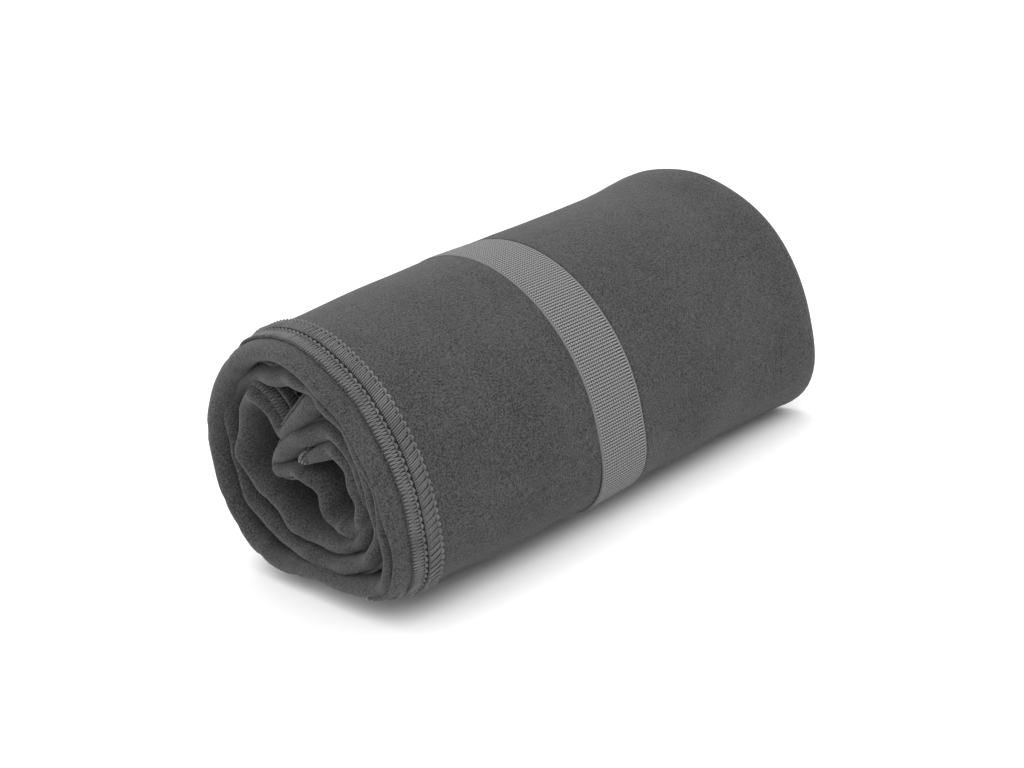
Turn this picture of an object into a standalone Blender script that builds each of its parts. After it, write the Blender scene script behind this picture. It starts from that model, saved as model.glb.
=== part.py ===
"""Quick dry travel towel, folded in four along its length, rolled up and held by an elastic strap.

The roll's axis runs along X, with the towel's open long edges at -X. It rests on z = 0, and the
origin is at the bottom centre of its bounding box. The four plies are modelled as one wound band.
"""

import math

import bmesh
import bpy
import numpy as np

# The cloth, laid flat
TOWEL_WIDTH = 0.750
TOWEL_LENGTH = 1.300
PLIES = 4
PLY_THICKNESS = 0.00085

# The overlock seams along its edges
OVERLOCK_WIDTH = 0.0052
OVERLOCK_THREADS = 0.00055
TOP_EDGE_INSET = 0.0132
NEXT_EDGE_INSET = 0.0096
END_SEAM_THREADS = 0.0003

# How it is wound
WINDING_GAP = 0.0036
HEIGHT_TO_WIDTH = 0.793
WIDEST_HEIGHT_SHARE = 0.389
FRONT_SQUARENESS = 4.5
BACK_SQUARENESS = 2.45
FLAT_SQUASH = 0.028
CORE_SHARE = 0.12
CORE_ROUNDING = 1.0
CORE_SHIFT_SHARE = 0.16
END_ANGLE = math.radians(225)
STEP_START = 0.90
STEP_END = 0.975
STEP_SPREAD = 0.15
STATIONS_PER_TURN = 28
FOLD_BEVEL = 0.0005

# The elastic strap
STRAP_WIDTH = 0.021
STRAP_THICKNESS = 0.0013
STRAP_CENTRE_X = -0.0044
STRAP_CLEARANCE = 0.0005
STRAP_LAP = 0.022
STRAP_LAP_RISE = 0.009
STRAP_LAP_ANGLE = math.radians(-8)
STRAP_STATIONS = 96
BARTACK_WIDTH = 0.0025
BARTACK_HEIGHT = 0.0005
BARTACK_EDGE = 0.0015
BARTACK_INSET = 0.0035

SEAT_GAP = 0.0003

FOLDED_WIDTH = (TOWEL_WIDTH + TOP_EDGE_INSET + NEXT_EDGE_INSET) / PLIES
BAND_THICKNESS = PLIES * PLY_THICKNESS
NEAR_END = -FOLDED_WIDTH / 2
FAR_END = FOLDED_WIDTH / 2
TOP_EDGE = NEAR_END + TOP_EDGE_INSET
NEXT_EDGE = NEAR_END + NEXT_EDGE_INSET
ROLL_BOTTOM = STRAP_THICKNESS + STRAP_CLEARANCE

GREY_CLOTH = (0.083, 0.083, 0.083, 1.0)
GREY_THREAD = (0.16, 0.16, 0.16, 1.0)
PALE_ELASTIC = (0.26, 0.26, 0.26, 1.0)


def clear_scene():
    for thing in list(bpy.data.objects):
        bpy.data.objects.remove(thing, do_unlink=True)


def material(name, colour, roughness):
    made = bpy.data.materials.new(name)
    made.use_nodes = True
    shader = made.node_tree.nodes["Principled BSDF"]
    shader.inputs["Base Color"].default_value = colour
    shader.inputs["Roughness"].default_value = roughness
    shader.inputs["Metallic"].default_value = 0.0
    made.diffuse_color = colour
    return made


def unit_outline(angle, inward):
    """Radius of the band, for a half width of 1, about the outline's widest point.

    The top is half an ellipse. The front and back of the underside are quarter superellipses,
    cut off level where the roll rests. inward goes from 0 on the outline to 1 at the centre, and
    the shape gets rounder on the way.
    """
    height = 2 * HEIGHT_TO_WIDTH
    below = height * WIDEST_HEIGHT_SHARE
    across, up = np.cos(angle), np.sin(angle)
    under = up < 0
    power = np.where(across < 0, FRONT_SQUARENESS, BACK_SQUARENESS)
    power = np.where(under, power + (2 - power) * inward, 2)
    reach = np.where(under, below * (1 + FLAT_SQUASH), height - below)
    radius = (np.abs(across) ** power + np.abs(up / reach) ** power) ** (-1 / power)
    radius = np.where(under, np.minimum(radius, below / np.maximum(-up, 1e-9)), radius)
    return radius + (height / 2 - radius) * CORE_ROUNDING * inward**3


def winding_depth(turn):
    """How many pitches inside the outline the band lies, `turn` turns in from its outer end.

    It follows the turn outside it, and steps inwards by one pitch where it passes under the end.
    The tighter turns nearer the core spread that step out.
    """
    whole = np.floor(turn)
    start = STEP_START - STEP_SPREAD * np.maximum(whole, 0)
    share = np.clip((turn - whole - start) / (STEP_END - start), 0, 1)
    return whole + share * share * (3 - 2 * share)


def spiral(turn, half_width, turns_to_centre):
    """Points (y, z) on the outer face of the wound band. z is measured from the widest point."""
    angle = END_ANGLE - 2 * math.pi * turn
    depth = winding_depth(turn)
    inward = np.clip(depth / turns_to_centre, 0, 1)
    radius = half_width * unit_outline(angle, inward) * (1 - inward)
    shift = -CORE_SHIFT_SHARE * half_width * inward
    return np.stack([radius * np.cos(angle) + shift, radius * np.sin(angle)], axis=-1)


def length_of(points):
    return float(np.linalg.norm(np.diff(points, axis=0), axis=1).sum())


def solve_winding():
    """Half width and turn count of a roll whose band is as long as the towel, at the set pitch."""
    pitch = BAND_THICKNESS + WINDING_GAP
    all_round = np.linspace(0, 2 * math.pi, 720, endpoint=False)
    mean_radius = float(unit_outline(all_round, 0.0).mean())
    half_width = 0.05
    for _ in range(20):
        turns_to_centre = half_width * mean_radius / pitch
        turns = turns_to_centre * (1 - CORE_SHARE)
        made = length_of(spiral(np.linspace(0, turns, 6000), half_width, turns_to_centre))
        half_width *= math.sqrt(TOWEL_LENGTH / made)
    return half_width, turns, turns_to_centre


HALF_WIDTH, TURNS, TURNS_TO_CENTRE = solve_winding()
WIDEST_Z = ROLL_BOTTOM + 2 * HALF_WIDTH * HEIGHT_TO_WIDTH * WIDEST_HEIGHT_SHARE


def wound(turn):
    """Points on the band's outer face, and the direction away from the roll's core at each."""
    step = 1e-4
    points = spiral(turn, HALF_WIDTH, TURNS_TO_CENTRE)
    ahead = spiral(turn + step, HALF_WIDTH, TURNS_TO_CENTRE)
    behind = spiral(turn - step, HALF_WIDTH, TURNS_TO_CENTRE)
    along = ahead - behind
    along /= np.linalg.norm(along, axis=1)[:, None]
    outward = np.stack([-along[:, 1], along[:, 0]], axis=-1)
    return points + (0, WIDEST_Z), outward


def outline_run(start_angle, length, offset):
    """Points at `offset` outside the roll's outline, for `length` on from an angle, evenly spaced."""
    angle = start_angle + np.linspace(0, 3 * math.pi, 5400)
    radius = HALF_WIDTH * unit_outline(angle, 0.0)
    line = np.stack([radius * np.cos(angle), radius * np.sin(angle) + WIDEST_Z], axis=-1)
    along = np.gradient(line, axis=0)
    along /= np.linalg.norm(along, axis=1)[:, None]
    outward = np.stack([along[:, 1], -along[:, 0]], axis=-1)
    run = np.concatenate([[0], np.cumsum(np.linalg.norm(np.diff(line, axis=0), axis=1))])
    perimeter = float(np.interp(2 * math.pi, angle - start_angle, run))
    wanted = np.linspace(0, length(perimeter), STRAP_STATIONS)
    rise = offset(wanted, perimeter)[:, None]
    points = np.stack([np.interp(wanted, run, line[:, k]) for k in (0, 1)], axis=-1)
    normal = np.stack([np.interp(wanted, run, outward[:, k]) for k in (0, 1)], axis=-1)
    normal /= np.linalg.norm(normal, axis=1)[:, None]
    return points + rise * normal, normal


def sweep(name, points, outward, profile, finish, origin):
    """A closed solid: a profile of (x, height above the path) points carried along a path."""
    mesh = bmesh.new()
    rings = []
    for (y, z), (ny, nz) in zip(points, outward):
        corners = [(x, y + n * ny, z + n * nz) for x, n in profile]
        rings.append([mesh.verts.new(np.subtract(corner, origin)) for corner in corners])
    for ring, following in zip(rings, rings[1:]):
        for k in range(len(profile)):
            after = (k + 1) % len(profile)
            mesh.faces.new((ring[k], ring[after], following[after], following[k]))
    mesh.faces.new(rings[0])
    mesh.faces.new(rings[-1])
    bmesh.ops.recalc_face_normals(mesh, faces=mesh.faces)
    data = bpy.data.meshes.new(name)
    mesh.to_mesh(data)
    mesh.free()
    data.shade_smooth()
    data.set_sharp_from_angle(angle=math.radians(40))
    data.materials.append(finish)
    made = bpy.data.objects.new(name, data)
    made.location = origin
    bpy.context.scene.collection.objects.link(made)
    return made


def box_profile(low_x, high_x, low, high):
    return [(low_x, low), (high_x, low), (high_x, high), (low_x, high)]


def cloth_profile():
    """The folded stack across its width: two plies at the near fold, then the two edge seams' seats."""
    second_ply, third_ply = -PLY_THICKNESS, -2 * PLY_THICKNESS
    inner = -BAND_THICKNESS
    next_seat = NEXT_EDGE + OVERLOCK_WIDTH + SEAT_GAP
    top_seat = TOP_EDGE + OVERLOCK_WIDTH + SEAT_GAP
    return [
        (NEAR_END + FOLD_BEVEL, inner),
        (NEAR_END, (inner + third_ply) / 2),
        (NEAR_END + FOLD_BEVEL, third_ply),
        (next_seat, third_ply),
        (next_seat, second_ply),
        (top_seat, second_ply),
        (top_seat, 0.0),
        (FAR_END - FOLD_BEVEL, 0.0),
        (FAR_END, inner / 2),
        (FAR_END - FOLD_BEVEL, inner),
    ]


def make_cloth(finish, origin):
    stations = np.linspace(0, TURNS, round(TURNS * STATIONS_PER_TURN))
    points, outward = wound(stations)
    sweep("towel_cloth", points, outward, cloth_profile(), finish, origin)


def make_long_edge_overlock(name, edge, top, finish, origin):
    """The seam along one long edge of the towel, seated on the ply beneath it, all along the spiral."""
    stations = np.linspace(0, TURNS, round(TURNS * STATIONS_PER_TURN))
    points, outward = wound(stations)
    profile = box_profile(edge, edge + OVERLOCK_WIDTH, top - OVERLOCK_THREADS, top)
    sweep(name, points, outward, profile, finish, origin)


def make_end_overlock(name, end, onwards, finish, origin):
    """The seam along a short end, which lies across the roll's whole length in line with the band."""
    nearby = end + np.array([-1e-3, 1e-3])
    metres_per_turn = length_of(spiral(nearby, HALF_WIDTH, TURNS_TO_CENTRE)) / np.ptp(nearby)
    reach = np.linspace(SEAT_GAP, SEAT_GAP + OVERLOCK_WIDTH, 5)
    points, outward = wound(end + onwards * reach / metres_per_turn)
    thickness = BAND_THICKNESS + END_SEAM_THREADS
    profile = box_profile(NEAR_END + FOLD_BEVEL, FAR_END - FOLD_BEVEL, -thickness, 0.0)
    sweep(name, points, outward, profile, finish, origin)


def strap_rise(along, perimeter):
    """Height of the strap's inner face above the outline: it climbs over its own start at the lap."""
    lapped = STRAP_THICKNESS + SEAT_GAP
    climb_start = perimeter - STRAP_LAP_RISE
    climb_end = perimeter - 2 * SEAT_GAP
    share = np.clip((along - climb_start) / (climb_end - climb_start), 0, 1)
    return STRAP_CLEARANCE + lapped * share * share * (3 - 2 * share)


def strap_path():
    return outline_run(STRAP_LAP_ANGLE, lambda perimeter: perimeter + STRAP_LAP, strap_rise)


def make_strap(finish, origin):
    points, outward = strap_path()
    low_x = STRAP_CENTRE_X - STRAP_WIDTH / 2
    profile = box_profile(low_x, low_x + STRAP_WIDTH, 0.0, STRAP_THICKNESS)
    sweep("elastic_strap", points, outward, profile, finish, origin)


def make_bartack(name, from_lap_start, finish, origin):
    """A bar of close stitches across the strap's lap, on its outer face."""
    points, outward = strap_path()
    run = np.concatenate([[0], np.cumsum(np.linalg.norm(np.diff(points, axis=0), axis=1))])
    start = run[-1] - STRAP_LAP + from_lap_start
    wanted = np.linspace(start, start + BARTACK_WIDTH, 3)
    place = np.stack([np.interp(wanted, run, points[:, k]) for k in (0, 1)], axis=-1)
    normal = np.stack([np.interp(wanted, run, outward[:, k]) for k in (0, 1)], axis=-1)
    low_x = STRAP_CENTRE_X - STRAP_WIDTH / 2 + BARTACK_EDGE
    high_x = STRAP_CENTRE_X + STRAP_WIDTH / 2 - BARTACK_EDGE
    base = STRAP_THICKNESS + SEAT_GAP
    profile = box_profile(low_x, high_x, base, base + BARTACK_HEIGHT)
    sweep(name, place, normal, profile, finish, origin)


def recentre():
    """Moves every piece so that the bounding box is centred on y = 0 and rests on z = 0."""
    bpy.context.view_layer.update()
    pieces = [thing for thing in bpy.data.objects if thing.type == "MESH"]
    corners = np.array([
        tuple(thing.matrix_world @ vertex.co) for thing in pieces for vertex in thing.data.vertices
    ])
    middle = (corners[:, 1].min() + corners[:, 1].max()) / 2
    for thing in pieces:
        thing.location.y -= middle
        thing.location.z -= corners[:, 2].min()


def main():
    clear_scene()
    cloth = material("microfibre_cloth", GREY_CLOTH, 0.95)
    thread = material("overlock_thread", GREY_THREAD, 0.8)
    elastic = material("woven_elastic", PALE_ELASTIC, 0.85)
    roll_axis = (0.0, 0.0, WIDEST_Z)
    strap_axis = (STRAP_CENTRE_X, 0.0, WIDEST_Z)
    make_cloth(cloth, roll_axis)
    make_long_edge_overlock("outer_long_edge_overlock", TOP_EDGE, 0.0, thread, roll_axis)
    make_long_edge_overlock("inner_long_edge_overlock", NEXT_EDGE, -PLY_THICKNESS, thread, roll_axis)
    make_end_overlock("outer_end_overlock", 0.0, -1, thread, roll_axis)
    make_end_overlock("core_end_overlock", TURNS, 1, thread, roll_axis)
    make_strap(elastic, strap_axis)
    make_bartack("strap_bartack_1", BARTACK_INSET, thread, strap_axis)
    make_bartack("strap_bartack_2", STRAP_LAP - BARTACK_INSET - BARTACK_WIDTH, thread, strap_axis)
    recentre()


main()
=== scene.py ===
"""Quick dry travel towel, folded in four, rolled up and held by a woven elastic strap.

The cloth is one folded sheet on a grid: along the roll's spiral, and across the towel's width from
one open edge to the other. The overlock seams are real threads wrapped round the sheet's edges.
Lengths inside the shape functions are in millimetres, in the frame's axes.
"""

import math

import bmesh
import bpy
import numpy as np
from bpy.props import FloatProperty, FloatVectorProperty, IntProperty, PointerProperty
from mathutils import Matrix


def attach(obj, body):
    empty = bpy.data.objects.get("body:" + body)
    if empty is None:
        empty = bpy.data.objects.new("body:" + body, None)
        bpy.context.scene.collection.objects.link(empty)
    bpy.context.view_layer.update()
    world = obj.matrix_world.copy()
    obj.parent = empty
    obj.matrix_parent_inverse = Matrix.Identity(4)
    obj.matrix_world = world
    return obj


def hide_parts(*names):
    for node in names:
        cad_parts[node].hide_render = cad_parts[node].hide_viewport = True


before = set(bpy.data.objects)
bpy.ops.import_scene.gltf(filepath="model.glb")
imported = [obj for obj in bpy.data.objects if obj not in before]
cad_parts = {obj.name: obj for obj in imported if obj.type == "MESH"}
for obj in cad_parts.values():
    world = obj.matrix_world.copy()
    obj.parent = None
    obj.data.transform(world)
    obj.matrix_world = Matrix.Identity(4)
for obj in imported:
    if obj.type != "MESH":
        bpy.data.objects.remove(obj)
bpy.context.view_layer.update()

bl_info = {
    "name": "Rolled Travel Towel",
    "version": (1, 0, 0),
    "blender": (4, 5, 0),
    "location": "View3D > Sidebar > Towel",
    "description": "A travel towel folded in four, rolled and held by an elastic strap",
    "category": "Object",
}

MM = 0.001

# The roll's outline and winding. The frame's solid has the same outline with a squarer front lower
# corner, and more turns, wound closer together
HALF_WIDTH = 57.36
HEIGHT_TO_WIDTH = 0.793
WIDEST_HEIGHT_SHARE = 0.389
FRONT_SQUARENESS = 3.3
BACK_SQUARENESS = 2.45
FLAT_SQUASH = 0.028
ROLL_BOTTOM = 1.8
MIDDLE_Y = -1.32
MIDDLE_Z = 47.0
END_ANGLE = math.radians(231)
CORE_SHIFT = 0.24
CORE_ROUNDING = 0.9
CORE_REACH = 0.9
DEEPEST = 0.97
STEP_START = 0.90
STEP_END = 0.985
STEP_SPREAD = 0.15
TURNS = 4.62
PITCH = 9.0
OUTER_TURN_LENGTH = 330.0
TURN_SHORTENING = 0.055

# The elastic strap
STRAP_WIDTH = 21.0
STRAP_THICKNESS = 1.15
STRAP_X = -4.4
STRAP_CLEARANCE = 0.2
STRAP_LAP = 22.0
STRAP_LAP_RISE = 9.0
STRAP_LAP_ANGLE = math.radians(-8)
STRAP_STATIONS = 1000
STRAP_SIDES = 40
WARP_PITCH = 0.00105
TACK_STARTS = (3.5, 16.0)
TACK_REACH = 2.5
TACK_MARGIN = 3.4
TACK_SWINGS = 44
TACK_THREAD = 0.24

# The sheet across the roll: its folds at the far end, how its width changes along the roll, and its
# two open edges
FAR_FOLD_X = 98.6
FAR_FLAT_X = 95.2
FAR_PUFF = 1.9
INNER_FOLD_X = 92.0
INNER_FOLD_REACH = 3.2
NEAR_TAPER = 0.00040
FAR_TAPER = 0.00037
TAPER_FROM = -3.6
TOP_EDGE_X = -83.3
NEXT_EDGE_X = -88.4
EDGE_STAGGER = 4.0
PLY = 0.75
PLY_SPACING = 0.85
END_SPREAD = 0.014

# The lip, where the sheet turns back at the near end
LIP_X = -94.0
LIP_LOOP = 5.0
LIP_CLOSING = 26.0

# The sheet's columns: distances from an open edge or the lip, and places along the roll
TOP_EDGE_STEPS = (0.0, 1.8, 3.6, 5.4, 7.5, 10.5, 15.0)
TOP_PLY_X = (
    -61.0, -53.5, -46.0, -38.5, -31.0, -25.5, -21.0, -17.6, -15.9, -15.3, -14.7, -13.0, -4.4, 4.2, 5.9, 6.5,
    7.1, 8.8, 12.2, 17.0, 23.0, 30.0, 37.0, 45.0, 53.0, 61.0, 69.0, 77.0, 84.0, 90.0, FAR_FLAT_X,
)
UNDER_PLY_X = (FAR_FLAT_X, 84.0, 60.0, 20.0, -20.0, -44.0, -56.0)
LIP_STEPS = (28.0, 22.0, 17.0, 12.5, 8.8, 6.0, 4.0, 2.4, 1.2, 0.4)
INNER_PLY_X = (-56.0, -40.0, 0.0, 50.0, 80.0, INNER_FOLD_X)
NEXT_EDGE_STEPS = (20.0, 15.0, 11.0, 8.0, 5.6, 3.6, 1.8, 0.0)

# The cloth's own surface: the groove under the strap, and where it eases onto the floor
GROOVE_HALF = 10.2
GROOVE_WALL = 0.7
GROOVE_RIM = 11.0
FLOOR_EASE_FROM = 2.0
FLOOR_EASE = 1.35

# Near end of each turn: turns in from the outer end, where the fold's lip is along the roll, and
# how thick the fold stands there
LIP_ROWS = (
    (0.00, -94.0, 2.6),
    (0.05, -94.0, 3.4),
    (0.15, -94.0, 4.6),
    (0.30, -94.0, 6.0),
    (0.42, -94.0, 7.0),
    (0.52, -94.5, 8.4),
    (0.62, -96.0, 8.4),
    (0.75, -96.5, 7.4),
    (0.87, -96.0, 6.6),
    (1.00, -95.0, 6.0),
    (1.20, -92.0, 6.0),
    (1.38, -92.5, 6.8),
    (1.46, -91.0, 6.8),
    (1.53, -90.0, 5.0),
    (1.62, -91.5, 4.4),
    (1.80, -94.0, 5.6),
    (2.00, -93.0, 6.0),
    (2.20, -90.0, 6.0),
    (2.36, -91.5, 6.8),
    (2.50, -92.0, 6.0),
    (2.70, -93.0, 6.4),
    (2.90, -92.5, 6.4),
    (3.20, -89.0, 6.0),
    (3.45, -92.0, 7.0),
    (3.60, -92.5, 5.6),
    (3.80, -91.0, 5.4),
    (4.10, -91.0, 6.0),
    (4.35, -90.0, 6.4),
    (4.62, -92.0, 4.0),
)

# How far the outer turn stands out of the even outline at the near end: turns in, mm
BULGE_ROWS = (
    (0.00, 0.0),
    (0.08, -1.2),
    (0.20, -0.3),
    (0.28, -0.4),
    (0.36, -1.4),
    (0.44, -2.4),
    (0.50, -2.0),
    (0.55, -0.6),
    (0.60, 1.5),
    (0.68, 2.9),
    (0.76, 3.2),
    (0.83, 0.7),
    (0.90, -1.8),
    (1.00, -0.6),
)

# Dents pressed across the lips: turns in, depth, half length along the turn in mm
DENT_ROWS = (
    (0.475, 1.0, 2.2),
    (0.590, 1.3, 2.6),
    (0.672, 1.5, 2.2),
    (0.702, 1.2, 1.9),
    (0.752, 1.5, 2.4),
    (0.815, 0.9, 2.2),
    (1.655, 0.9, 2.2),
    (1.735, 1.2, 2.4),
    (1.820, 1.1, 2.0),
    (1.905, 0.9, 2.2),
    (2.640, 0.8, 1.8),
    (2.745, 1.2, 2.2),
    (2.835, 1.1, 2.4),
    (2.930, 1.0, 2.0),
    (3.060, 1.0, 2.2),
    (3.400, 0.9, 2.0),
    (3.830, 0.8, 1.8),
    (3.930, 0.9, 1.8),
)

# Middle of the fold at the near end, past the first turn: turns in, y, z
CREASE_ROWS = (
    (0.86, -2.0, 7.4),
    (0.93, -18.0, 8.0),
    (0.99, -32.0, 10.0),
    (1.05, -42.0, 15.0),
    (1.11, -46.0, 27.0),
    (1.17, -45.5, 44.0),
    (1.24, -39.0, 61.0),
    (1.31, -27.0, 72.5),
    (1.38, -13.0, 76.5),
    (1.44, 0.0, 75.0),
    (1.50, 18.0, 73.5),
    (1.56, 33.0, 66.0),
    (1.62, 41.0, 54.0),
    (1.68, 43.0, 41.5),
    (1.74, 39.0, 30.0),
    (1.80, 28.0, 21.0),
    (1.87, 12.0, 14.5),
    (1.94, -6.0, 13.0),
    (2.00, -22.0, 15.5),
    (2.06, -34.0, 21.5),
    (2.12, -39.5, 31.0),
    (2.19, -39.5, 46.0),
    (2.26, -34.0, 61.0),
    (2.31, -24.0, 71.0),
    (2.35, -16.0, 67.5),
    (2.39, -5.5, 60.5),
    (2.43, 3.0, 55.0),
    (2.465, 7.8, 57.0),
    (2.495, 8.3, 63.0),
    (2.53, 11.5, 68.0),
    (2.57, 17.0, 68.0),
    (2.62, 25.0, 62.0),
    (2.67, 30.5, 54.0),
    (2.72, 34.0, 45.5),
    (2.77, 33.0, 38.5),
    (2.83, 25.0, 31.0),
    (2.90, 13.0, 24.0),
    (2.97, -2.0, 19.5),
    (3.04, -18.0, 20.5),
    (3.11, -30.0, 28.0),
    (3.18, -34.5, 38.0),
    (3.25, -34.0, 51.0),
    (3.31, -26.0, 59.0),
    (3.37, -15.0, 58.0),
    (3.43, -4.0, 54.5),
    (3.49, 6.5, 49.5),
    (3.54, 13.0, 46.0),
    (3.57, 14.5, 43.8),
    (3.60, 11.5, 42.3),
    (3.65, 3.5, 43.5),
    (3.70, -5.0, 43.5),
    (3.75, -8.5, 38.5),
    (3.81, -9.5, 32.0),
    (3.88, -15.0, 27.5),
    (3.96, -24.0, 27.5),
    (4.05, -31.0, 32.5),
    (4.14, -32.5, 40.5),
    (4.23, -30.0, 48.5),
    (4.32, -24.0, 53.5),
    (4.42, -16.5, 51.8),
    (4.52, -10.0, 49.6),
    (4.62, -5.5, 49.0),
)

# The seams' threads: wraps of the face thread in a stitch, and points along a stitch of each thread
WRAPS = 3
WRAP_POINTS = 30
FACE_LEG_POINTS = 20
BACK_LEG_POINTS = 16
CHAIN_POINTS = 6
THREAD_SIDES = 5
# Each seam: its piece, its edge's place in the grid, the grid line that it reaches toward, and its node
LONG_SEAMS = (
    ("seam_top_long_edge", 0, 2, "outer_long_edge_overlock"),
    ("seam_next_long_edge", -1, -3, "inner_long_edge_overlock"),
)
END_SEAMS = (
    ("seam_outer_end", 0, 2, "outer_end_overlock"),
    ("seam_core_end", -1, -3, "core_end_overlock"),
)

# The stage, in metres and watts: each light's name, place, width and power. The camera's angles are
# its azimuth, its elevation and its turn about its line of sight, in degrees, and its lens is in mm
FLOOR_HALF = 4.0
WORLD_STRENGTH = 1.03
LIGHTS = (
    ("key light", (-0.35, -0.75, 1.10), 0.9, 7.0),
    ("top light", (0.25, 0.25, 1.30), 1.2, 6.0),
)
LIGHTS_AIM = (0.0, 0.0, 0.045)
CAMERA_PLACE = (-0.2420, -0.3158, 0.1604)
CAMERA_ANGLES = (-37.61, 16.75, -12.12)
CAMERA_LENS = 39.8
CAMERA_SENSOR = 36.0


class TowelSizes(bpy.types.PropertyGroup):
    """The sizes that a user would change"""

    stations: IntProperty(
        name="Stations", description="Rows of cloth along the spiral", default=510, min=200, max=520
    )
    seam_pitch: FloatProperty(
        name="Seam pitch", description="Distance from one overlock stitch to the next, in mm",
        default=2.25, min=1.5, max=4.0,
    )
    seam_width: FloatProperty(
        name="Seam width", description="How far the overlock stitches reach into the cloth, in mm",
        default=4.3, min=2.0, max=8.0,
    )
    seam_thread: FloatProperty(
        name="Seam thread", description="Radius of the overlock thread, in mm",
        default=0.26, min=0.1, max=0.8,
    )
    rib_pitch: FloatProperty(
        name="Rib pitch", description="Distance from one rib of the elastic to the next, in metres",
        default=0.00105, min=0.0004, max=0.003, precision=5, subtype="DISTANCE", unit="LENGTH",
    )


class TowelColours(bpy.types.PropertyGroup):
    """The colours that a user would change"""

    cloth: FloatVectorProperty(
        name="Cloth", description="Colour of the microfibre", subtype="COLOR",
        default=(0.0435, 0.0435, 0.0441), min=0, max=1,
    )
    thread: FloatVectorProperty(
        name="Seam thread", description="Colour of the overlock thread", subtype="COLOR",
        default=(0.094, 0.094, 0.095), min=0, max=1,
    )
    elastic: FloatVectorProperty(
        name="Elastic", description="Colour of the woven elastic", subtype="COLOR",
        default=(0.128, 0.128, 0.1295), min=0, max=1,
    )
    floor: FloatVectorProperty(
        name="Floor", description="Colour of the studio floor", subtype="COLOR",
        default=(0.985, 0.985, 0.985), min=0, max=1,
    )


# ---------------------------------------------------------------- shape helpers


def smooth(share):
    """0 to 1 with level ends: 3 s^2 - 2 s^3 of the share, held inside 0 and 1."""
    share = np.clip(share, 0.0, 1.0)
    return share * share * (3 - 2 * share)


def through(rows, column, at):
    """A curve through one column of the rows: cubic pieces, each with its neighbours' slope where they
    meet."""
    table = np.array(rows)
    knots, values = table[:, 0], table[:, column]
    slopes = np.gradient(values, knots)
    k = np.clip(np.searchsorted(knots, at) - 1, 0, len(knots) - 2)
    step = knots[k + 1] - knots[k]
    s = np.clip((at - knots[k]) / step, 0.0, 1.0)
    rise = values[k + 1] - values[k]
    start, stop = slopes[k] * step, slopes[k + 1] * step
    return values[k] + s * start + s**2 * (3 * rise - 2 * start - stop) + s**3 * (start + stop - 2 * rise)


def waves(seed, count, shortest, longest, *axes):
    """A sum of sine waves of seeded length, heading and phase over the given coordinates, about +-1."""
    chance = np.random.default_rng(seed)
    total = 0.0
    for _ in range(count):
        length = math.exp(chance.uniform(math.log(shortest), math.log(longest)))
        heading = chance.normal(size=len(axes))
        heading /= np.linalg.norm(heading)
        phase = chance.uniform(0, 2 * math.pi)
        travelled = sum(h * a for h, a in zip(heading, axes))
        total = total + np.sin(2 * math.pi / length * travelled + phase)
    return total / math.sqrt(count)


def unit_outline(angle, inward):
    """Radius of the roll's section for a half width of 1: half an ellipse over two quarter
    superellipses that are cut off level, drawn toward a circle with the cube of the way inward."""
    height = 2 * HEIGHT_TO_WIDTH
    below = height * WIDEST_HEIGHT_SHARE
    across, up = np.cos(angle), np.sin(angle)
    under = up < 0
    power = np.where(across < 0, FRONT_SQUARENESS, BACK_SQUARENESS)
    power = np.where(under, power + (2 - power) * inward, 2)
    reach = np.where(under, below * (1 + FLAT_SQUASH), height - below)
    radius = (np.abs(across) ** power + np.abs(up / reach) ** power) ** (-1 / power)
    radius = np.where(under, np.minimum(radius, below / np.maximum(-up, 1e-9)), radius)
    return radius + (height / 2 - radius) * CORE_ROUNDING * inward**3


WIDEST_Z = ROLL_BOTTOM + 2 * HALF_WIDTH * HEIGHT_TO_WIDTH * WIDEST_HEIGHT_SHARE


def wound(turn):
    """Outer face of the even spiral, as y and z, `turn` turns in from the outer end. Its depth is a
    whole number of pitches plus a smooth step where it passes inside the outer end."""
    whole = np.floor(turn)
    start = STEP_START - STEP_SPREAD * np.maximum(whole, 0)
    depth = whole + smooth((turn - whole - start) / (STEP_END - start))
    angle = END_ANGLE - 2 * math.pi * turn
    inward = np.clip(depth * PITCH / (HALF_WIDTH * CORE_REACH), 0, DEEPEST)
    radius = HALF_WIDTH * unit_outline(angle, inward) * (1 - inward)
    y = radius * np.cos(angle) - CORE_SHIFT * HALF_WIDTH * inward
    return np.stack([y + MIDDLE_Y, radius * np.sin(angle) + WIDEST_Z], axis=-1)


def unit_of(vectors):
    """Each vector over its own length, so that it is 1 long."""
    return vectors / np.maximum(np.linalg.norm(vectors, axis=-1, keepdims=True), 1e-9)


def along_of(line):
    """Unit direction along a line of points whose first axis runs along it."""
    return unit_of(np.gradient(line, axis=0))


def run_along(line):
    """Distance along a line from its start to each point: the running sum of its steps."""
    return np.concatenate([[0], np.cumsum(np.linalg.norm(np.diff(line, axis=0), axis=1))])


def out_of(line):
    """Unit direction away from the roll's core beside a line in the section plane."""
    along = along_of(line)
    return np.stack([-along[..., 1], along[..., 0]], axis=-1)


def eased(line, rounds):
    """The line with each point drawn to the mean of its neighbours, a few times over, ends held."""
    line = line.copy()
    for _ in range(rounds):
        line[1:-1] = 0.25 * line[:-2] + 0.5 * line[1:-1] + 0.25 * line[2:]
    return line


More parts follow.
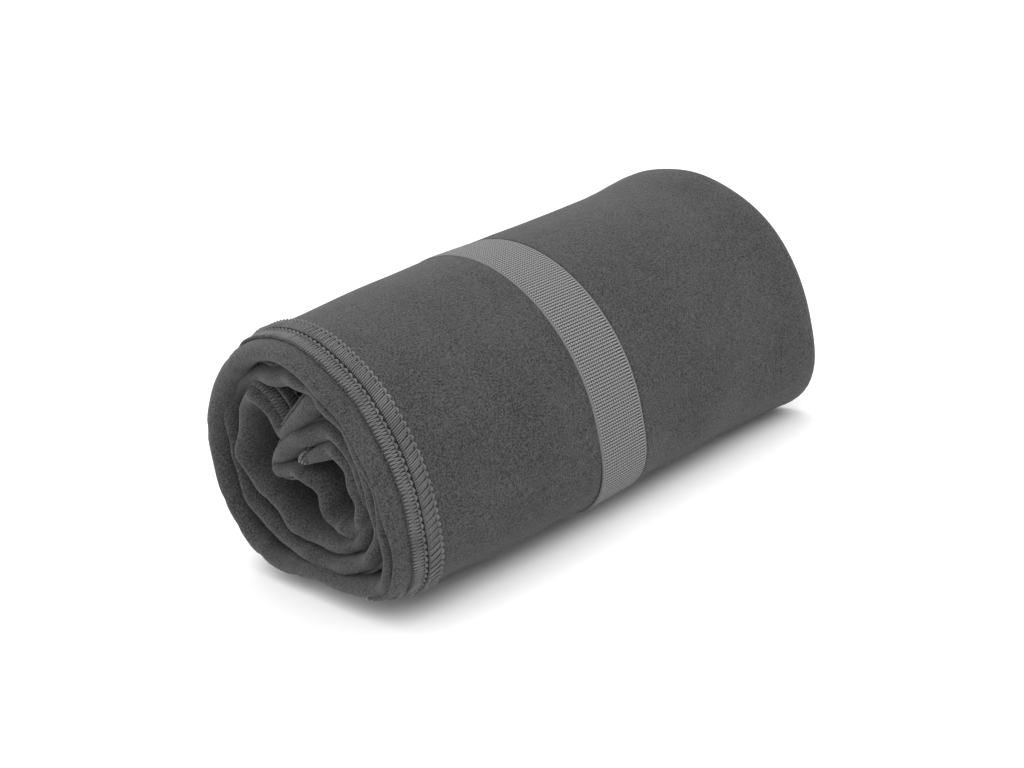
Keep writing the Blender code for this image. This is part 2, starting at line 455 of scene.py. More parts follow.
def make_mesh(name, points, faces, uv=None):
    """An object from arrays of points in mm and of quads, with an optional UV pair for each point."""
    mesh = bpy.data.meshes.new(name)
    points = np.ascontiguousarray(points.reshape(-1, 3) * MM)
    faces = np.ascontiguousarray(faces.reshape(-1, 4))
    mesh.vertices.add(len(points))
    mesh.vertices.foreach_set("co", points.ravel())
    mesh.loops.add(faces.size)
    mesh.loops.foreach_set("vertex_index", faces.ravel())
    mesh.polygons.add(len(faces))
    mesh.polygons.foreach_set("loop_start", np.arange(0, faces.size, 4))
    mesh.update(calc_edges=True)
    if uv is not None:
        layer = mesh.uv_layers.new(name="cloth")
        layer.data.foreach_set("uv", uv.reshape(-1, 2)[faces.ravel()].ravel())
    mesh.shade_smooth()
    thing = bpy.data.objects.new(name, mesh)
    bpy.context.scene.collection.objects.link(thing)
    return thing


def grid_faces(rows, columns, wrap_rows=False, wrap_columns=False):
    """Quads of a rows x columns grid of points, optionally joined end to end."""
    i = np.arange(rows if wrap_rows else rows - 1)[:, None]
    j = np.arange(columns if wrap_columns else columns - 1)[None, :]
    after_i, after_j = (i + 1) % rows, (j + 1) % columns
    here, there = i * columns, after_i * columns
    corners = [here + j, here + after_j, there + after_j, there + j]
    return np.stack(np.broadcast_arrays(*corners), axis=-1).reshape(-1, 4)


def tube(name, line, up, radius, sides):
    """A thread: circles of the radius carried along a line, each square to it, with both ends drawn in
    to a point."""
    along = along_of(line)
    side = unit_of(np.cross(along, up))
    top = np.cross(side, along)
    turn = np.linspace(0, 2 * math.pi, sides, endpoint=False)
    size = radius * np.ones(len(line))
    size[0] = size[-1] = 0.004
    rings = line[:, None] + size[:, None, None] * (
        np.cos(turn)[None, :, None] * side[:, None] + np.sin(turn)[None, :, None] * top[:, None]
    )
    return make_mesh(name, rings, grid_faces(len(line), sides, wrap_columns=True))


# ---------------------------------------------------------------- the cloth


def hump(offset, half):
    """A bell curve: e to the power of -(offset / half)^2."""
    return np.exp(-((offset / half) ** 2))


def spacing_out(turn):
    """How much the plies fan out at the cloth's two short ends, where their seams lie on each other: 1
    plus a bell curve at each end."""
    return 1 + 0.5 * hump(turn, END_SPREAD) + 0.9 * hump(TURNS - turn, 2.2 * END_SPREAD)


def station_turns(stations):
    """Turn numbers of the stations, in steps that grow a little toward the core, whose turns are
    shorter: TURNS (0.8 e + 0.2 e^2), with e from 0 to 1."""
    even = np.linspace(0, 1, stations)
    return TURNS * (0.80 * even + 0.20 * even**2)


def cloth_grid(stations):
    """The folded sheet's turn numbers, and for each station and column its x and its height off the
    band's middle line, in mm.

    Across the width the sheet runs over ply 0 from the top open edge to the far fold, back over ply 3
    to the lip at the near end, round the lip, out over ply 2 to the inner far fold, and back over
    ply 1 to the next open edge.
    """
    turn = station_turns(stations)
    lip_x = through(LIP_ROWS, 1, turn)
    run = OUTER_TURN_LENGTH * (turn - TURN_SHORTENING * turn**2)
    lip_x = lip_x + (0.35 + 0.35 * smooth((turn - 0.9) / 0.2)) * waves(11, 7, 20, 60, run)
    fat = through(LIP_ROWS, 2, turn) - PLY
    gap = PLY_SPACING * spacing_out(turn)
    inside = smooth((turn - 0.85) / 0.2)
    outward_share = 0.08 + 0.42 * inside
    setback = 3.6 - 1.6 * hump(turn - 2.43, 0.12) - 1.2 * hump(turn - 3.8, 0.2)
    top_edge = TOP_EDGE_X * (1 - inside) + (lip_x + EDGE_STAGGER + setback) * inside
    next_edge = NEXT_EDGE_X * (1 - inside) + (lip_x + setback) * inside

    def lip_loop(distance):
        """Heights of plies 2 and 3 near the lip: half an ellipse whose two sides then draw together."""
        rounded = np.sqrt(np.clip(1 - (1 - np.clip(distance / LIP_LOOP, 0, 1)) ** 2, 0, 1))
        closed = smooth((distance - LIP_LOOP) / LIP_CLOSING)
        middle = -gap * (0.5 + 0.5 * closed) + fat * (outward_share - 0.5) * (1 - closed)
        half = rounded * 0.5 * (fat * (1 - closed) + gap * closed)
        return middle + half, middle - half

    def puff(x):
        """How much the far folds stand open near the far end of the roll."""
        return FAR_PUFF * smooth((x - FAR_FOLD_X + 30) / 26)

    columns = []

    def over_lip(x):
        """How far the lip's loop lifts the plies that lie on it."""
        return np.maximum(lip_loop(x - lip_x)[0] + 0.5 * gap, 0)

    def add(x, height):
        """One more column of the sheet, from numbers or from a value for each station."""
        columns.append((x + 0 * turn, height + 0 * turn))

    # ply 0, from the top open edge to the far fold
    for d in TOP_EDGE_STEPS:
        x = top_edge + d
        add(x, 1.5 * gap + over_lip(x) + 0.55 * hump(d, 6.0))
    for x in TOP_PLY_X:
        add(x, 1.5 * gap + over_lip(x) + puff(x))
    # far fold, from ply 0 to ply 3
    for angle in np.linspace(0, math.pi, 9)[1:-1]:
        bulge = abs(math.cos(angle)) ** 0.8 * math.copysign(1, math.cos(angle))
        add(FAR_FLAT_X + (FAR_FOLD_X - FAR_FLAT_X) * math.sin(angle), (1.5 * gap + FAR_PUFF) * bulge)
    # ply 3, back to the lip, and ply 2 out to the inner far fold
    for x in UNDER_PLY_X:
        add(x, -1.5 * gap - puff(x))
    for d in LIP_STEPS:
        add(lip_x + d, lip_loop(d)[1])
    add(lip_x, lip_loop(0.0)[0])
    for d in LIP_STEPS[::-1]:
        add(lip_x + d, lip_loop(d)[0])
    for x in INNER_PLY_X:
        add(x, -0.5 * gap - 0.25 * puff(x))
    for angle in np.linspace(0, math.pi, 5)[1:-1]:
        reach = INNER_FOLD_REACH * math.sin(angle)
        add(INNER_FOLD_X + reach, -(0.5 * gap + 0.25 * FAR_PUFF) * math.cos(angle))
    # ply 1, back to the next open edge
    for x in INNER_PLY_X[::-1]:
        add(x, 0.5 * gap + 0.25 * puff(x))
    for d in NEXT_EDGE_STEPS:
        x = next_edge + d
        add(x, 0.5 * gap + over_lip(x) + 0.2 * hump(d, 6.0))
    x = np.stack([column[0] for column in columns], axis=1)
    height = np.stack([column[1] for column in columns], axis=1)
    height -= (1.5 * (gap - PLY_SPACING) * hump(turn, 0.1))[:, None]
    return turn, x, height


def middle_line(turn, x):
    """Middle line of the folded band, (y, z), at every station and column: the even spiral, which is
    wavy past the first turn and scaled along the roll, mixed with the crease rows near the lip."""
    outer = wound(turn)
    outward = out_of(eased(outer, 3))
    run = run_along(outer)
    slack = smooth((turn - 0.95) / 0.2) * smooth((TURNS - turn) / 0.2)
    wave = 1.5 * slack * np.sin(2 * math.pi * run / 15.0 + 1.3 * np.sin(run / 31.0))
    even = outer - (2.0 + wave)[:, None] * outward
    centre = np.array([MIDDLE_Y, MIDDLE_Z])
    narrow = 1 + NEAR_TAPER * np.minimum(x - TAPER_FROM, 0)
    even = centre + (even[:, None] - centre) * narrow[..., None]
    under = np.array([MIDDLE_Y, ROLL_BOTTOM])
    wide = 1 + FAR_TAPER * np.maximum(x - TAPER_FROM, 0)
    even = under + (even - under) * wide[..., None]
    bulge = through(BULGE_ROWS, 1, np.minimum(turn, 1.0))[:, None]
    even = even + (bulge * smooth((-x - 40) / 45))[..., None] * outward[:, None]
    # the outer end is drawn in at the near end of the roll and stands off at its far end
    tuck = (1.3 / 92) * (x - STRAP_X) * hump(turn[:, None] - 0.06, 0.07)
    even = even + tuck[..., None] * outward[:, None]
    crease = np.stack([through(CREASE_ROWS, k, turn) for k in (1, 2)], axis=-1)
    lip_narrow = 1 + NEAR_TAPER * (LIP_X - TAPER_FROM)
    turned_in = centre + (outer - 2.6 * outward - centre) * lip_narrow + bulge * outward
    take = smooth((turn - 0.78) / 0.14)[:, None]
    crease = turned_in * (1 - take) + crease * take
    inner = smooth((turn - 0.80) / 0.2)
    reach_in = smooth((-x - 34) / 36) * inner[:, None]
    lipward = smooth((-x - 82) / 12) * (1 - inner[:, None])
    mix = np.clip(reach_in + lipward, 0, 1)[..., None]
    return even * (1 - mix) + crease[:, None] * mix


def bend_limited(line, height):
    """Heights held to less than the line's own bend radius on the hollow side, so the cloth doesn't fold
    through itself: h / (1 + (h k / 0.8)^4)^(1/4), with k the bend, where h and k agree in sign."""
    step = np.gradient(line, axis=0)
    turning = np.gradient(step, axis=0)
    speed = np.maximum(np.linalg.norm(step, axis=-1), 1e-6)
    bend = (step[..., 0] * turning[..., 1] - step[..., 1] * turning[..., 0]) / speed**3
    hollow = np.maximum(height * bend, 0)
    return height / (1 + (hollow / 0.8) ** 4) ** 0.25


def cloth_points(stations):
    """The sheet's points (stations, columns, 3) and their outward directions, (y, z): the middle line
    plus each column's height, plus the cloth's own soft shape pressed in or out, held off the floor."""
    turn, x, height = cloth_grid(stations)
    line = eased(middle_line(turn, x), 4)
    outward = out_of(line)
    height = bend_limited(line, height)
    section = line + height[..., None] * outward
    y, z = section[..., 0], section[..., 1]
    # flat under the strap, raised beside it, and softly uneven further off
    beside = np.abs(x - STRAP_X)
    away = smooth((beside - GROOVE_HALF) / GROOVE_WALL)
    clear = smooth((beside - GROOVE_RIM) / 14)
    raised = 0.4 * hump(beside - GROOVE_RIM, 8.0)
    swell = 0.40 * clear * waves(3, 9, 35, 110, x, y, z)
    ruck = 0.18 * clear * waves(5, 12, 16, 40, x, 0.9 * y, 0.9 * z)
    # crumpled at the near end, more so past the first turn
    near = smooth((-x - 58) / 26)
    past = smooth((turn - 0.95) / 0.15)[:, None]
    crumple = (0.08 + 0.30 * past) * near * waves(8, 12, 14, 45, 0.35 * x, y, z)
    base = 1.1 - 0.4 * smooth((-x - 50) / 35)
    press = 0.05 * (1 - away) + away * (base + raised + swell + ruck)
    press = press * np.where(turn[:, None] < 1.1, 1.0, 0.6) + crumple
    # dented across the lips, and pressed down along the outer end
    lengthwise = run_along(line[:, 0])
    lipward = smooth((-x - 72) / 20)
    for place, depth, half in DENT_ROWS:
        off = (lengthwise - np.interp(place, turn, lengthwise))[:, None] + 0.35 * (x - LIP_X)
        press = press - 0.7 * depth * lipward * hump(off, half)
    press = press - 0.9 * hump(turn, 0.020)[:, None]
    section = section + press[..., None] * outward
    low = FLOOR_EASE_FROM - section[..., 1]
    eased_z = FLOOR_EASE_FROM - FLOOR_EASE * np.tanh(low / FLOOR_EASE)
    section[..., 1] = np.where(low > 0, eased_z, section[..., 1])
    return np.concatenate([x[..., None], section], axis=-1), outward


# ---------------------------------------------------------------- finishes


class Value:
    """A shader socket that can be used in sums: each operator adds a Math node."""

    def __init__(self, tree, socket):
        self.tree, self.socket = tree, socket

    def maths(self, operation, *values, clamp=False):
        node = self.tree.nodes.new("ShaderNodeMath")
        node.operation = operation
        node.use_clamp = clamp
        for socket, value in zip(node.inputs, values):
            if isinstance(value, Value):
                self.tree.links.new(value.socket, socket)
            else:
                socket.default_value = value
        return Value(self.tree, node.outputs[0])

    def __add__(self, other):
        return self.maths("ADD", self, other)

    def __radd__(self, other):
        return self.maths("ADD", other, self)

    def __sub__(self, other):
        return self.maths("SUBTRACT", self, other)

    def __rsub__(self, other):
        return self.maths("SUBTRACT", other, self)

    def __mul__(self, other):
        return self.maths("MULTIPLY", self, other)

    def __rmul__(self, other):
        return self.maths("MULTIPLY", other, self)

    def sine(self):
        return self.maths("SINE", self)

    def size(self):
        return self.maths("ABSOLUTE", self)

    def clamped(self):
        return self.maths("ADD", self, 0.0, clamp=True)


class Finish:
    """A material under construction."""

    def __init__(self, name):
        self.material = bpy.data.materials.new(name)
        self.material.use_nodes = True
        self.tree = self.material.node_tree
        self.shader = self.tree.nodes["Principled BSDF"]
        self.shader.inputs["Metallic"].default_value = 0.0
        self.shader.inputs["Specular IOR Level"].default_value = 0.25

    def node(self, kind, settings=None, **values):
        """A node with its settings made first, then its sockets set or linked by name."""
        made = self.tree.nodes.new(kind)
        for key, value in (settings or {}).items():
            setattr(made, key, value)
        for key, value in values.items():
            socket = made.inputs[key.replace("_", " ")]
            if isinstance(value, Value):
                value = value.socket
            if isinstance(value, bpy.types.NodeSocket):
                self.tree.links.new(value, socket)
            else:
                socket.default_value = value
        return made

    def value(self, node, output=0):
        return Value(self.tree, node.outputs[output])

    def mixed(self, share, low, high):
        """A colour between two colours by a share from 0 to 1."""
        node = self.node("ShaderNodeMix", {"data_type": "RGBA"})
        self.tree.links.new(share.socket, node.inputs[0])
        node.inputs[6].default_value = (*low, 1.0)
        node.inputs[7].default_value = (*high, 1.0)
        return node.outputs[2]

    def uv(self):
        """The two parts of the piece's own UV map, in metres."""
        place = self.node("ShaderNodeUVMap", {"uv_map": "cloth"})
        parts = self.node("ShaderNodeSeparateXYZ", Vector=place.outputs[0])
        return place.outputs[0], self.value(parts, 0), self.value(parts, 1)

    def spot(self):
        """The place on the piece, in metres in its own axes."""
        return self.node("ShaderNodeTexCoord").outputs["Object"]

    def noise(self, vector, scale, detail, roughness):
        made = self.node("ShaderNodeTexNoise", Vector=vector, Scale=scale, Detail=detail, Roughness=roughness)
        return self.value(made)

    def paint(self, colour, roughness):
        self.tree.links.new(colour, self.shader.inputs["Base Color"])
        self.shader.inputs["Roughness"].default_value = roughness

    def relief(self, height, distance, strength):
        """Small bumps of the height times the distance, in metres, by way of the normal."""
        bump = self.node("ShaderNodeBump", Height=height, Distance=distance, Strength=strength)
        self.tree.links.new(bump.outputs[0], self.shader.inputs["Normal"])


def shade(colour, factor):
    """The colour made lighter or darker, with each part held to 1."""
    return tuple(min(1.0, part * factor) for part in colour)


def cloth_finish(colour):
    """Suede microfibre: brushed nap in soft patches, a fine pile, and a slight sheen."""
    finish = Finish("suede microfibre")
    spot = finish.spot()
    patches = finish.noise(spot, 48.0, 3.0, 0.55)
    strokes = finish.noise(spot, 300.0, 3.0, 0.65)
    pile = finish.noise(spot, 1900.0, 1.0, 0.6)
    tone = (patches * 0.5 + strokes * 0.28 + pile * 2.5 - 1.14).clamped()
    finish.paint(finish.mixed(tone, shade(colour, 0.30), shade(colour, 1.68)), 0.95)
    finish.shader.inputs["Sheen Weight"].default_value = 0.16
    finish.shader.inputs["Sheen Roughness"].default_value = 0.5
    finish.shader.inputs["Sheen Tint"].default_value = (0.75, 0.75, 0.75, 1.0)
    finish.relief(pile * 1.0 + strokes * 0.8 + patches * 0.8, 0.0005, 0.6)
    return finish.material


def thread_finish(name, colour):
    """Textured sewing thread: twisted filaments and a slightly uneven colour."""
    finish = Finish(name)
    spot = finish.spot()
    fibres = finish.noise(spot, 2600.0, 2.0, 0.6)
    batches = finish.noise(spot, 160.0, 2.0, 0.5)
    tone = (fibres * 0.8 + batches * 0.5 - 0.15).clamped()
    finish.paint(finish.mixed(tone, shade(colour, 0.22), shade(colour, 2.3)), 0.75)
    finish.shader.inputs["Sheen Weight"].default_value = 0.2
    finish.relief(fibres, 0.0001, 0.6)
    return finish.material


def elastic_finish(colour, rib_pitch):
    """Woven elastic: weft ribs across the band, crossed by fine warp lines, plain selvedges with a
    ladder of binding stitches beside them. Its colour is darkened in the gaps between the ribs and
    warp lines, as painted shade, and lightened on the rib tops, as painted highlight."""
    finish = Finish("woven elastic")
    place, across, along = finish.uv()
    rib = (along * (2 * math.pi / rib_pitch)).sine() * 0.5 + 0.5
    warp = (across * (2 * math.pi / WARP_PITCH)).sine()
    offset = (along * (2 * math.pi / rib_pitch) + warp * 0.9).sine() * 0.5 + 0.5
    column = warp * 0.5 + 0.5
    offside = across - STRAP_WIDTH * MM / 2
    selvedge = ((offside.size() - 0.0096) * 4000.0).clamped()
    ladder = ((0.0009 - (offside - 0.0084).size()) * 5000.0).clamped()
    speckle = finish.noise(place, 1400.0, 2.0, 0.6)
    # the ribs and warp lines are the band's weave; their dark gaps are painted shade and their light tops
    # painted highlight
    weave_with_painted_light = offset * 0.66 + column * 0.26 + speckle * 0.5 - 0.22
    steps = rib * 1.0 + speckle * 0.3 - 0.15
    body = weave_with_painted_light * (1 - ladder) + steps * ladder
    body = body * (1 - selvedge) + (0.34 + speckle * 0.3) * selvedge
    tone = (body * 1.5 - 0.25).clamped()
    # the dark end of this range is painted shade in the weave's gaps, and the light end is painted highlight
    # on the rib tops
    finish.paint(finish.mixed(tone, shade(colour, 0.12), shade(colour, 1.95)), 0.85)
    finish.shader.inputs["Sheen Weight"].default_value = 0.15
    finish.relief(body, 0.00035, 0.9)
    return finish.material


def floor_finish(colour):
    """A matt floor with a hardly visible unevenness of colour."""
    finish = Finish("studio floor")
    grain = finish.noise(finish.spot(), 3.0, 2.0, 0.5)
    finish.paint(finish.mixed(grain, shade(colour, 0.995), shade(colour, 1.005)), 0.9)
    return finish.material


def settle(thing, material, body, nodes):
    """Gives a finished piece its material, body, stood-for nodes and slot."""
    thing.data.materials.append(material)
    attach(thing, body)
    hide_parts(*nodes)


# ---------------------------------------------------------------- pieces


def seam_threads(name, edge, inward, normal, sizes, material, reverse):
    """An overlock seam along an edge, with its chain row of stitches at the inner side. The face shows
    three close wraps of thread for each stitch, and the reverse shows paired zigzag legs.

    A wrap is edge + inward (m - b cos p) + normal h tanh(2.6 sin p), with p turning three times a
    stitch. A zigzag leg is edge + inward (m + b w) + normal h, with w a rounded triangle wave.
    """
    run = run_along(edge)
    stitches = int(run[-1] / sizes.seam_pitch)
    reach, radius = sizes.seam_width, sizes.seam_thread
    height = PLY / 2 + radius * 0.6
    chance = np.random.default_rng(len(name))

    def sampled(at, table):
        """The table's rows at distances along the edge."""
        return np.stack([np.interp(at, run, table[:, k]) for k in range(3)], axis=-1)

    def uneven(turn, size):
        """Chance amounts at every half stitch, joined by straight lines."""
        halves = 2 * stitches + 2
        return size * np.interp(turn, np.arange(halves) / 2, chance.normal(size=halves))

    def placed(turn, across, lift, along):
        """A thread's points from stitch numbers, places across the edge, heights and shifts along it, none
        lower than a thread's width over the floor."""
        at = np.clip((turn + along) * run[-1] / stitches, 0, run[-1])
        into, up = sampled(at, inward), sampled(at, normal)
        line = sampled(at, edge) + into * across[:, None] + up * lift[:, None]
        line[:, 2] = np.maximum(line[:, 2], 2.0 * radius)
        return line, up

    def stitch_numbers(points):
        return np.arange(stitches * points + 1) / points

    def wraps():
        turn = stitch_numbers(WRAP_POINTS)
        phase = 2 * math.pi * WRAPS * turn
        bundle = np.cos(2 * math.pi * turn)
        wave = -np.cos(phase)
        over = np.tanh(2.6 * np.sin(phase))
        half = (reach - 0.1 + 0.45 * bundle + uneven(turn, 0.14)) / 2
        across = half - 0.25 + (half + 0.05) * wave
        lift = over * (height + 0.20 * bundle * (over > 0)) + uneven(turn, 0.05)
        line, up = placed(turn, across, lift, 0.30 * wave + uneven(turn, 0.03))
        return tube(name, line, up, radius, THREAD_SIDES)

    def zigzag(side, points, offset):
        turn = stitch_numbers(points)
        wave = np.arcsin(0.96 * np.cos(4 * math.pi * turn)) / math.asin(0.96)
        across = (reach - 0.2) * (wave + 1) / 2 - 0.25 + uneven(turn, 0.12)
        lift = side * height * (0.1 + 0.9 * smooth((wave + 1.0) / 0.4)) + uneven(turn, 0.05)
        line, up = placed(turn, across, lift, offset + uneven(turn, 0.03))
        return tube(name, line, up, radius * 0.82, THREAD_SIDES)

    turn = stitch_numbers(CHAIN_POINTS)
    bead = np.cos(2 * math.pi * turn)
    line, up = placed(turn, reach - 0.3 + 0.12 * bead, height + 0.10 + 0.30 * bead, 0.0)
    chain = tube(name + "_chain", line, up, radius * (1.25 + 0.55 * bead), THREAD_SIDES)
    if reverse:
        threads = [zigzag(1.0, FACE_LEG_POINTS, 0.0), zigzag(-1.0, BACK_LEG_POINTS, 0.25), chain]
    else:
        threads = [wraps(), chain]
    for thing in threads:
        thing.data.materials.append(material)
    return joined(threads, name)


def joined(things, name):
    """The objects as one, with the first one's material."""
    whole = bmesh.new()
    for thing in things:
        whole.from_mesh(thing.data)
    mesh = bpy.data.meshes.new(name)
    whole.to_mesh(mesh)
    whole.free()
    mesh.shade_smooth()
    material = things[0].data.materials[0]
    for thing in things:
        bpy.data.objects.remove(thing, do_unlink=True)
    made = bpy.data.objects.new(name, mesh)
    made.data.materials.append(material)
    bpy.context.scene.collection.objects.link(made)
    return made


def build_cloth(sizes, colours):
    """The sheet as an object, with its points and outward directions. Its UV map is the distance over
    the cloth across its width and along its length, in metres."""
    points, outward = cloth_points(sizes.stations)
    rows, columns = points.shape[:2]
    steps = np.linalg.norm(np.diff(points, axis=1), axis=2)
    across = np.concatenate([np.zeros((rows, 1)), np.cumsum(steps, axis=1)], axis=1)
    lengthwise = run_along(points[:, 3])
    uv = np.stack([across, np.broadcast_to(lengthwise[:, None], across.shape)], axis=-1) * MM
    thing = make_mesh("towel_sheet", points, grid_faces(rows, columns), uv)
    thick = thing.modifiers.new("Cloth thickness", "SOLIDIFY")
    thick.thickness = PLY * MM
    thick.offset = 0.0
    settle(thing, cloth_finish(colours.cloth), "towel_roll", ["towel_cloth"])
    return thing, points, outward


class TOWEL_OT_cloth(bpy.types.Operator):
    """The microfibre sheet, folded in four and rolled, with its overlocked edges"""

    bl_idname = "towel.cloth"
    bl_label = "Cloth and seams"

    def execute(self, context):
        sizes, colours = context.scene.towel_sizes, context.scene.towel_colours
        sheet, points, outward = build_cloth(sizes, colours)
        thread = thread_finish("overlock thread", colours.thread)
        normal = np.concatenate([np.zeros(outward.shape[:2] + (1,)), outward], axis=-1)
        edges = []
        for name, column, second, node in LONG_SEAMS:
            edge = points[:, column]
            inward = unit_of(points[:, second] - edge)
            edges.append((name, node, edge, inward, normal[:, column], column != 0))
        for name, row, second, node in END_SEAMS:
            edge = points[row]
            inward = unit_of(points[second] - edge)
            edges.append((name, node, edge, inward, unit_of(np.cross(along_of(edge), inward)), False))
        for name, node, edge, inward, up, reverse in edges:
            seam = seam_threads(name, edge, inward, up, sizes, thread, reverse)
            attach(seam, "towel_roll")
            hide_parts(node)
        return {"FINISHED"}


def strap_line(stations):
    """Distances along the strap, its inner face, (y, z), its outward direction and the roll's girth: the
    roll's outline stood off by the clearance, rising over its own start at the lap."""
    angle = STRAP_LAP_ANGLE + np.linspace(0, 3 * math.pi, 5400)
    radius = HALF_WIDTH * unit_outline(angle, 0.0)
    line = np.stack([radius * np.cos(angle) + MIDDLE_Y, radius * np.sin(angle) + WIDEST_Z], axis=-1)
    line = eased(line, 60)
    outward = -out_of(line)
    run = run_along(line)
    perimeter = float(np.interp(2 * math.pi, angle - STRAP_LAP_ANGLE, run))
    wanted = np.linspace(0, perimeter + STRAP_LAP, stations)
    share = smooth((wanted - perimeter + STRAP_LAP_RISE) / (STRAP_LAP_RISE - 0.6))
    rise = STRAP_CLEARANCE + (STRAP_THICKNESS + 0.15) * share
    points = np.stack([np.interp(wanted, run, line[:, k]) for k in (0, 1)], axis=-1)
    normal = unit_of(np.stack([np.interp(wanted, run, outward[:, k]) for k in (0, 1)], axis=-1))
    return wanted, points + rise[:, None] * normal, normal, perimeter


def strap_profile(steps):
    """The band's section, as places across and heights round a flat oval with rounded selvedges: a
    superellipse whose powers are near 6."""
    turn = np.linspace(0, 2 * math.pi, steps, endpoint=False)
    c, s = np.cos(turn), np.sin(turn)
    across = np.sign(c) * np.abs(c) ** 0.35 * STRAP_WIDTH / 2
    height = np.sign(s) * np.abs(s) ** 0.3 * STRAP_THICKNESS / 2
    return across, height + STRAP_THICKNESS / 2


class TOWEL_OT_strap(bpy.types.Operator):
    """The woven elastic strap with its lapped and bar-tacked ends"""

    bl_idname = "towel.strap"
    bl_label = "Elastic strap"

    def execute(self, context):
        sizes, colours = context.scene.towel_sizes, context.scene.towel_colours
        wanted, points, normal, perimeter = strap_line(STRAP_STATIONS)
        across, height = strap_profile(STRAP_SIDES)
        x = np.broadcast_to(STRAP_X + across, (len(points), len(across)))
        section = points[:, None] + height[None, :, None] * normal[:, None]
        grid = np.concatenate([x[..., None], section], axis=-1)
        from_side = (across + STRAP_WIDTH / 2)[None, :]
        uv = np.stack(np.broadcast_arrays(from_side, wanted[:, None]), axis=-1) * MM
        faces = grid_faces(len(points), len(across), wrap_columns=True)
        band = make_mesh("elastic_strap_band", grid, faces[:, ::-1], uv)
        shell = bmesh.new()
        shell.from_mesh(band.data)
        bmesh.ops.holes_fill(shell, edges=[edge for edge in shell.edges if edge.is_boundary], sides=0)
        bmesh.ops.recalc_face_normals(shell, faces=shell.faces)
        shell.to_mesh(band.data)
        shell.free()
        band.data.shade_smooth()
        elastic = elastic_finish(colours.elastic, sizes.rib_pitch)
        settle(band, elastic, "strap", ["elastic_strap"])
        thread = thread_finish("bar tack thread", shade(colours.thread, 1.3))
        for k, start in enumerate(TACK_STARTS):
            node = "strap_bartack_%d" % (k + 1)
            tack = bar_tack("bar_tack_%d" % (k + 1), wanted, points, normal, perimeter + start, thread)
            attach(tack, "strap")
            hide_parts(node)
        return {"FINISHED"}


def bar_tack(name, wanted, points, normal, start, material):
    """A bar of close zigzag stitches across the strap: one thread that goes over or back along the
    strap, by a flattened sine, at every 0.4 mm of its width."""
    turn = np.linspace(0, TACK_SWINGS, TACK_SWINGS * 8 + 1)
    over = np.tanh(2 * np.sin(math.pi * turn))
    along = start + TACK_REACH / 2 + TACK_REACH / 2 * over
    x = STRAP_X + (turn / TACK_SWINGS - 0.5) * (STRAP_WIDTH - TACK_MARGIN)
    y, z = (np.interp(along, wanted, points[:, k]) for k in (0, 1))
    ny, nz = (np.interp(along, wanted, normal[:, k]) for k in (0, 1))
    lift = STRAP_THICKNESS + 0.16 - 0.12 * np.abs(over)
    line = np.stack([x, y + lift * ny, z + lift * nz], axis=-1)
    up = np.stack([0 * x, ny, nz], axis=-1)
    made = tube(name, line, up, TACK_THREAD, 6)
    made.data.materials.append(material)
    return made


class TOWEL_OT_stage(bpy.types.Operator):
    """The pale studio floor, the soft lights and the camera"""

    bl_idname = "towel.stage"
    bl_label = "Stage"

    def execute(self, context):
        colours = context.scene.towel_colours
        side = np.linspace(-FLOOR_HALF, FLOOR_HALF, 3) / MM
        grid = np.stack(np.broadcast_arrays(side[:, None], side[None, :], 0.0), axis=-1).astype(float)
        floor = make_mesh("studio_floor", grid, grid_faces(3, 3)[:, ::-1])
        floor.data.materials.append(floor_finish(colours.floor))
        add_world()
        add_lights()
        add_camera()
        context.scene.view_settings.view_transform = "Standard"
        return {"FINISHED"}


def add_world():
    """An even white surround."""
    world = bpy.data.worlds.new("studio")
    world.use_nodes = True
    background = world.node_tree.nodes["Background"]
    background.inputs["Color"].default_value = (1.0, 1.0, 1.0, 1.0)
    background.inputs["Strength"].default_value = WORLD_STRENGTH
    bpy.context.scene.world = world


def add_lights():
    """Square lights above the roll, aimed at its middle."""
    for name, place, size, power in LIGHTS:
        lamp = bpy.data.lights.new(name, "AREA")
        lamp.shape = "SQUARE"
        lamp.size = size
        lamp.energy = power
        thing = bpy.data.objects.new(name, lamp)
        thing.matrix_world = facing(place, unit_of(np.array(LIGHTS_AIM) - np.array(place)))
        bpy.context.scene.collection.objects.link(thing)


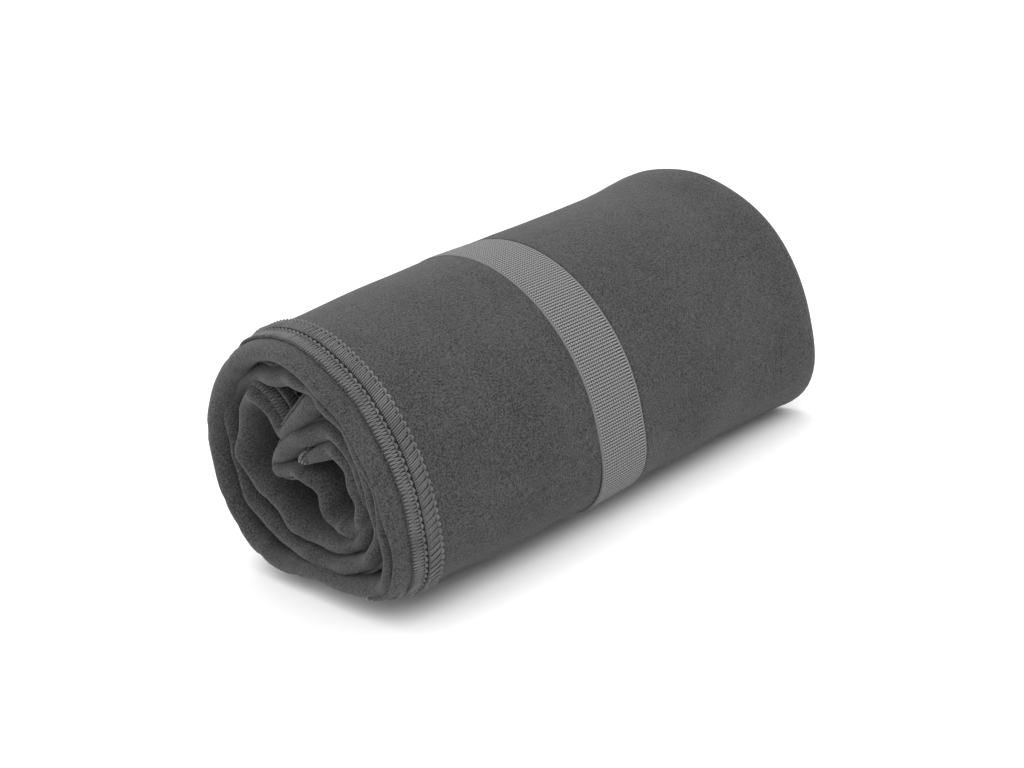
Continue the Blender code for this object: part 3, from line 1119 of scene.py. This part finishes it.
def facing(place, forward):
    """A lamp's or camera's matrix that looks along forward with its top up."""
    right = unit_of(np.cross(forward, (0.0, 0.0, 1.0)))
    up = np.cross(right, forward)
    matrix = np.eye(4)
    matrix[:3, :3] = np.stack([right, up, -forward], axis=1)
    matrix[:3, 3] = place
    return Matrix(matrix.tolist())


def add_camera():
    """The camera stands in front of the near end and above it, turned about its own line of sight."""
    camera = bpy.data.cameras.new("camera")
    camera.sensor_width = CAMERA_SENSOR
    camera.lens = CAMERA_LENS
    camera.clip_start = 0.02
    thing = bpy.data.objects.new("camera", camera)
    azimuth, elevation, roll = (math.radians(angle) for angle in CAMERA_ANGLES)
    level = math.cos(elevation)
    back = np.array([math.sin(azimuth) * level, -math.cos(azimuth) * level, math.sin(elevation)])
    upright = facing(CAMERA_PLACE, -back)
    thing.matrix_world = upright @ Matrix.Rotation(roll, 4, "Z")
    bpy.context.scene.collection.objects.link(thing)
    bpy.context.scene.camera = thing


class TOWEL_PT_panel(bpy.types.Panel):
    """The towel's sizes, colours and operators"""

    bl_label = "Rolled towel"
    bl_idname = "TOWEL_PT_panel"
    bl_space_type = "VIEW_3D"
    bl_region_type = "UI"
    bl_category = "Towel"

    def draw(self, context):
        for group in (context.scene.towel_sizes, context.scene.towel_colours):
            box = self.layout.box()
            for key in group.__annotations__:
                box.prop(group, key)
        for operator in OPERATORS:
            self.layout.operator(operator.bl_idname)


OPERATORS = (TOWEL_OT_strap, TOWEL_OT_cloth, TOWEL_OT_stage)
CLASSES = (TowelSizes, TowelColours, *OPERATORS, TOWEL_PT_panel)


def register():
    for kind in CLASSES:
        bpy.utils.register_class(kind)
    bpy.types.Scene.towel_sizes = PointerProperty(type=TowelSizes)
    bpy.types.Scene.towel_colours = PointerProperty(type=TowelColours)


def unregister():
    del bpy.types.Scene.towel_colours
    del bpy.types.Scene.towel_sizes
    for kind in reversed(CLASSES):
        bpy.utils.unregister_class(kind)


def main():
    """Builds the towel and the stage."""
    register()
    bpy.ops.towel.strap()
    bpy.ops.towel.cloth()
    bpy.ops.towel.stage()


if __name__ == "__main__":
    main()
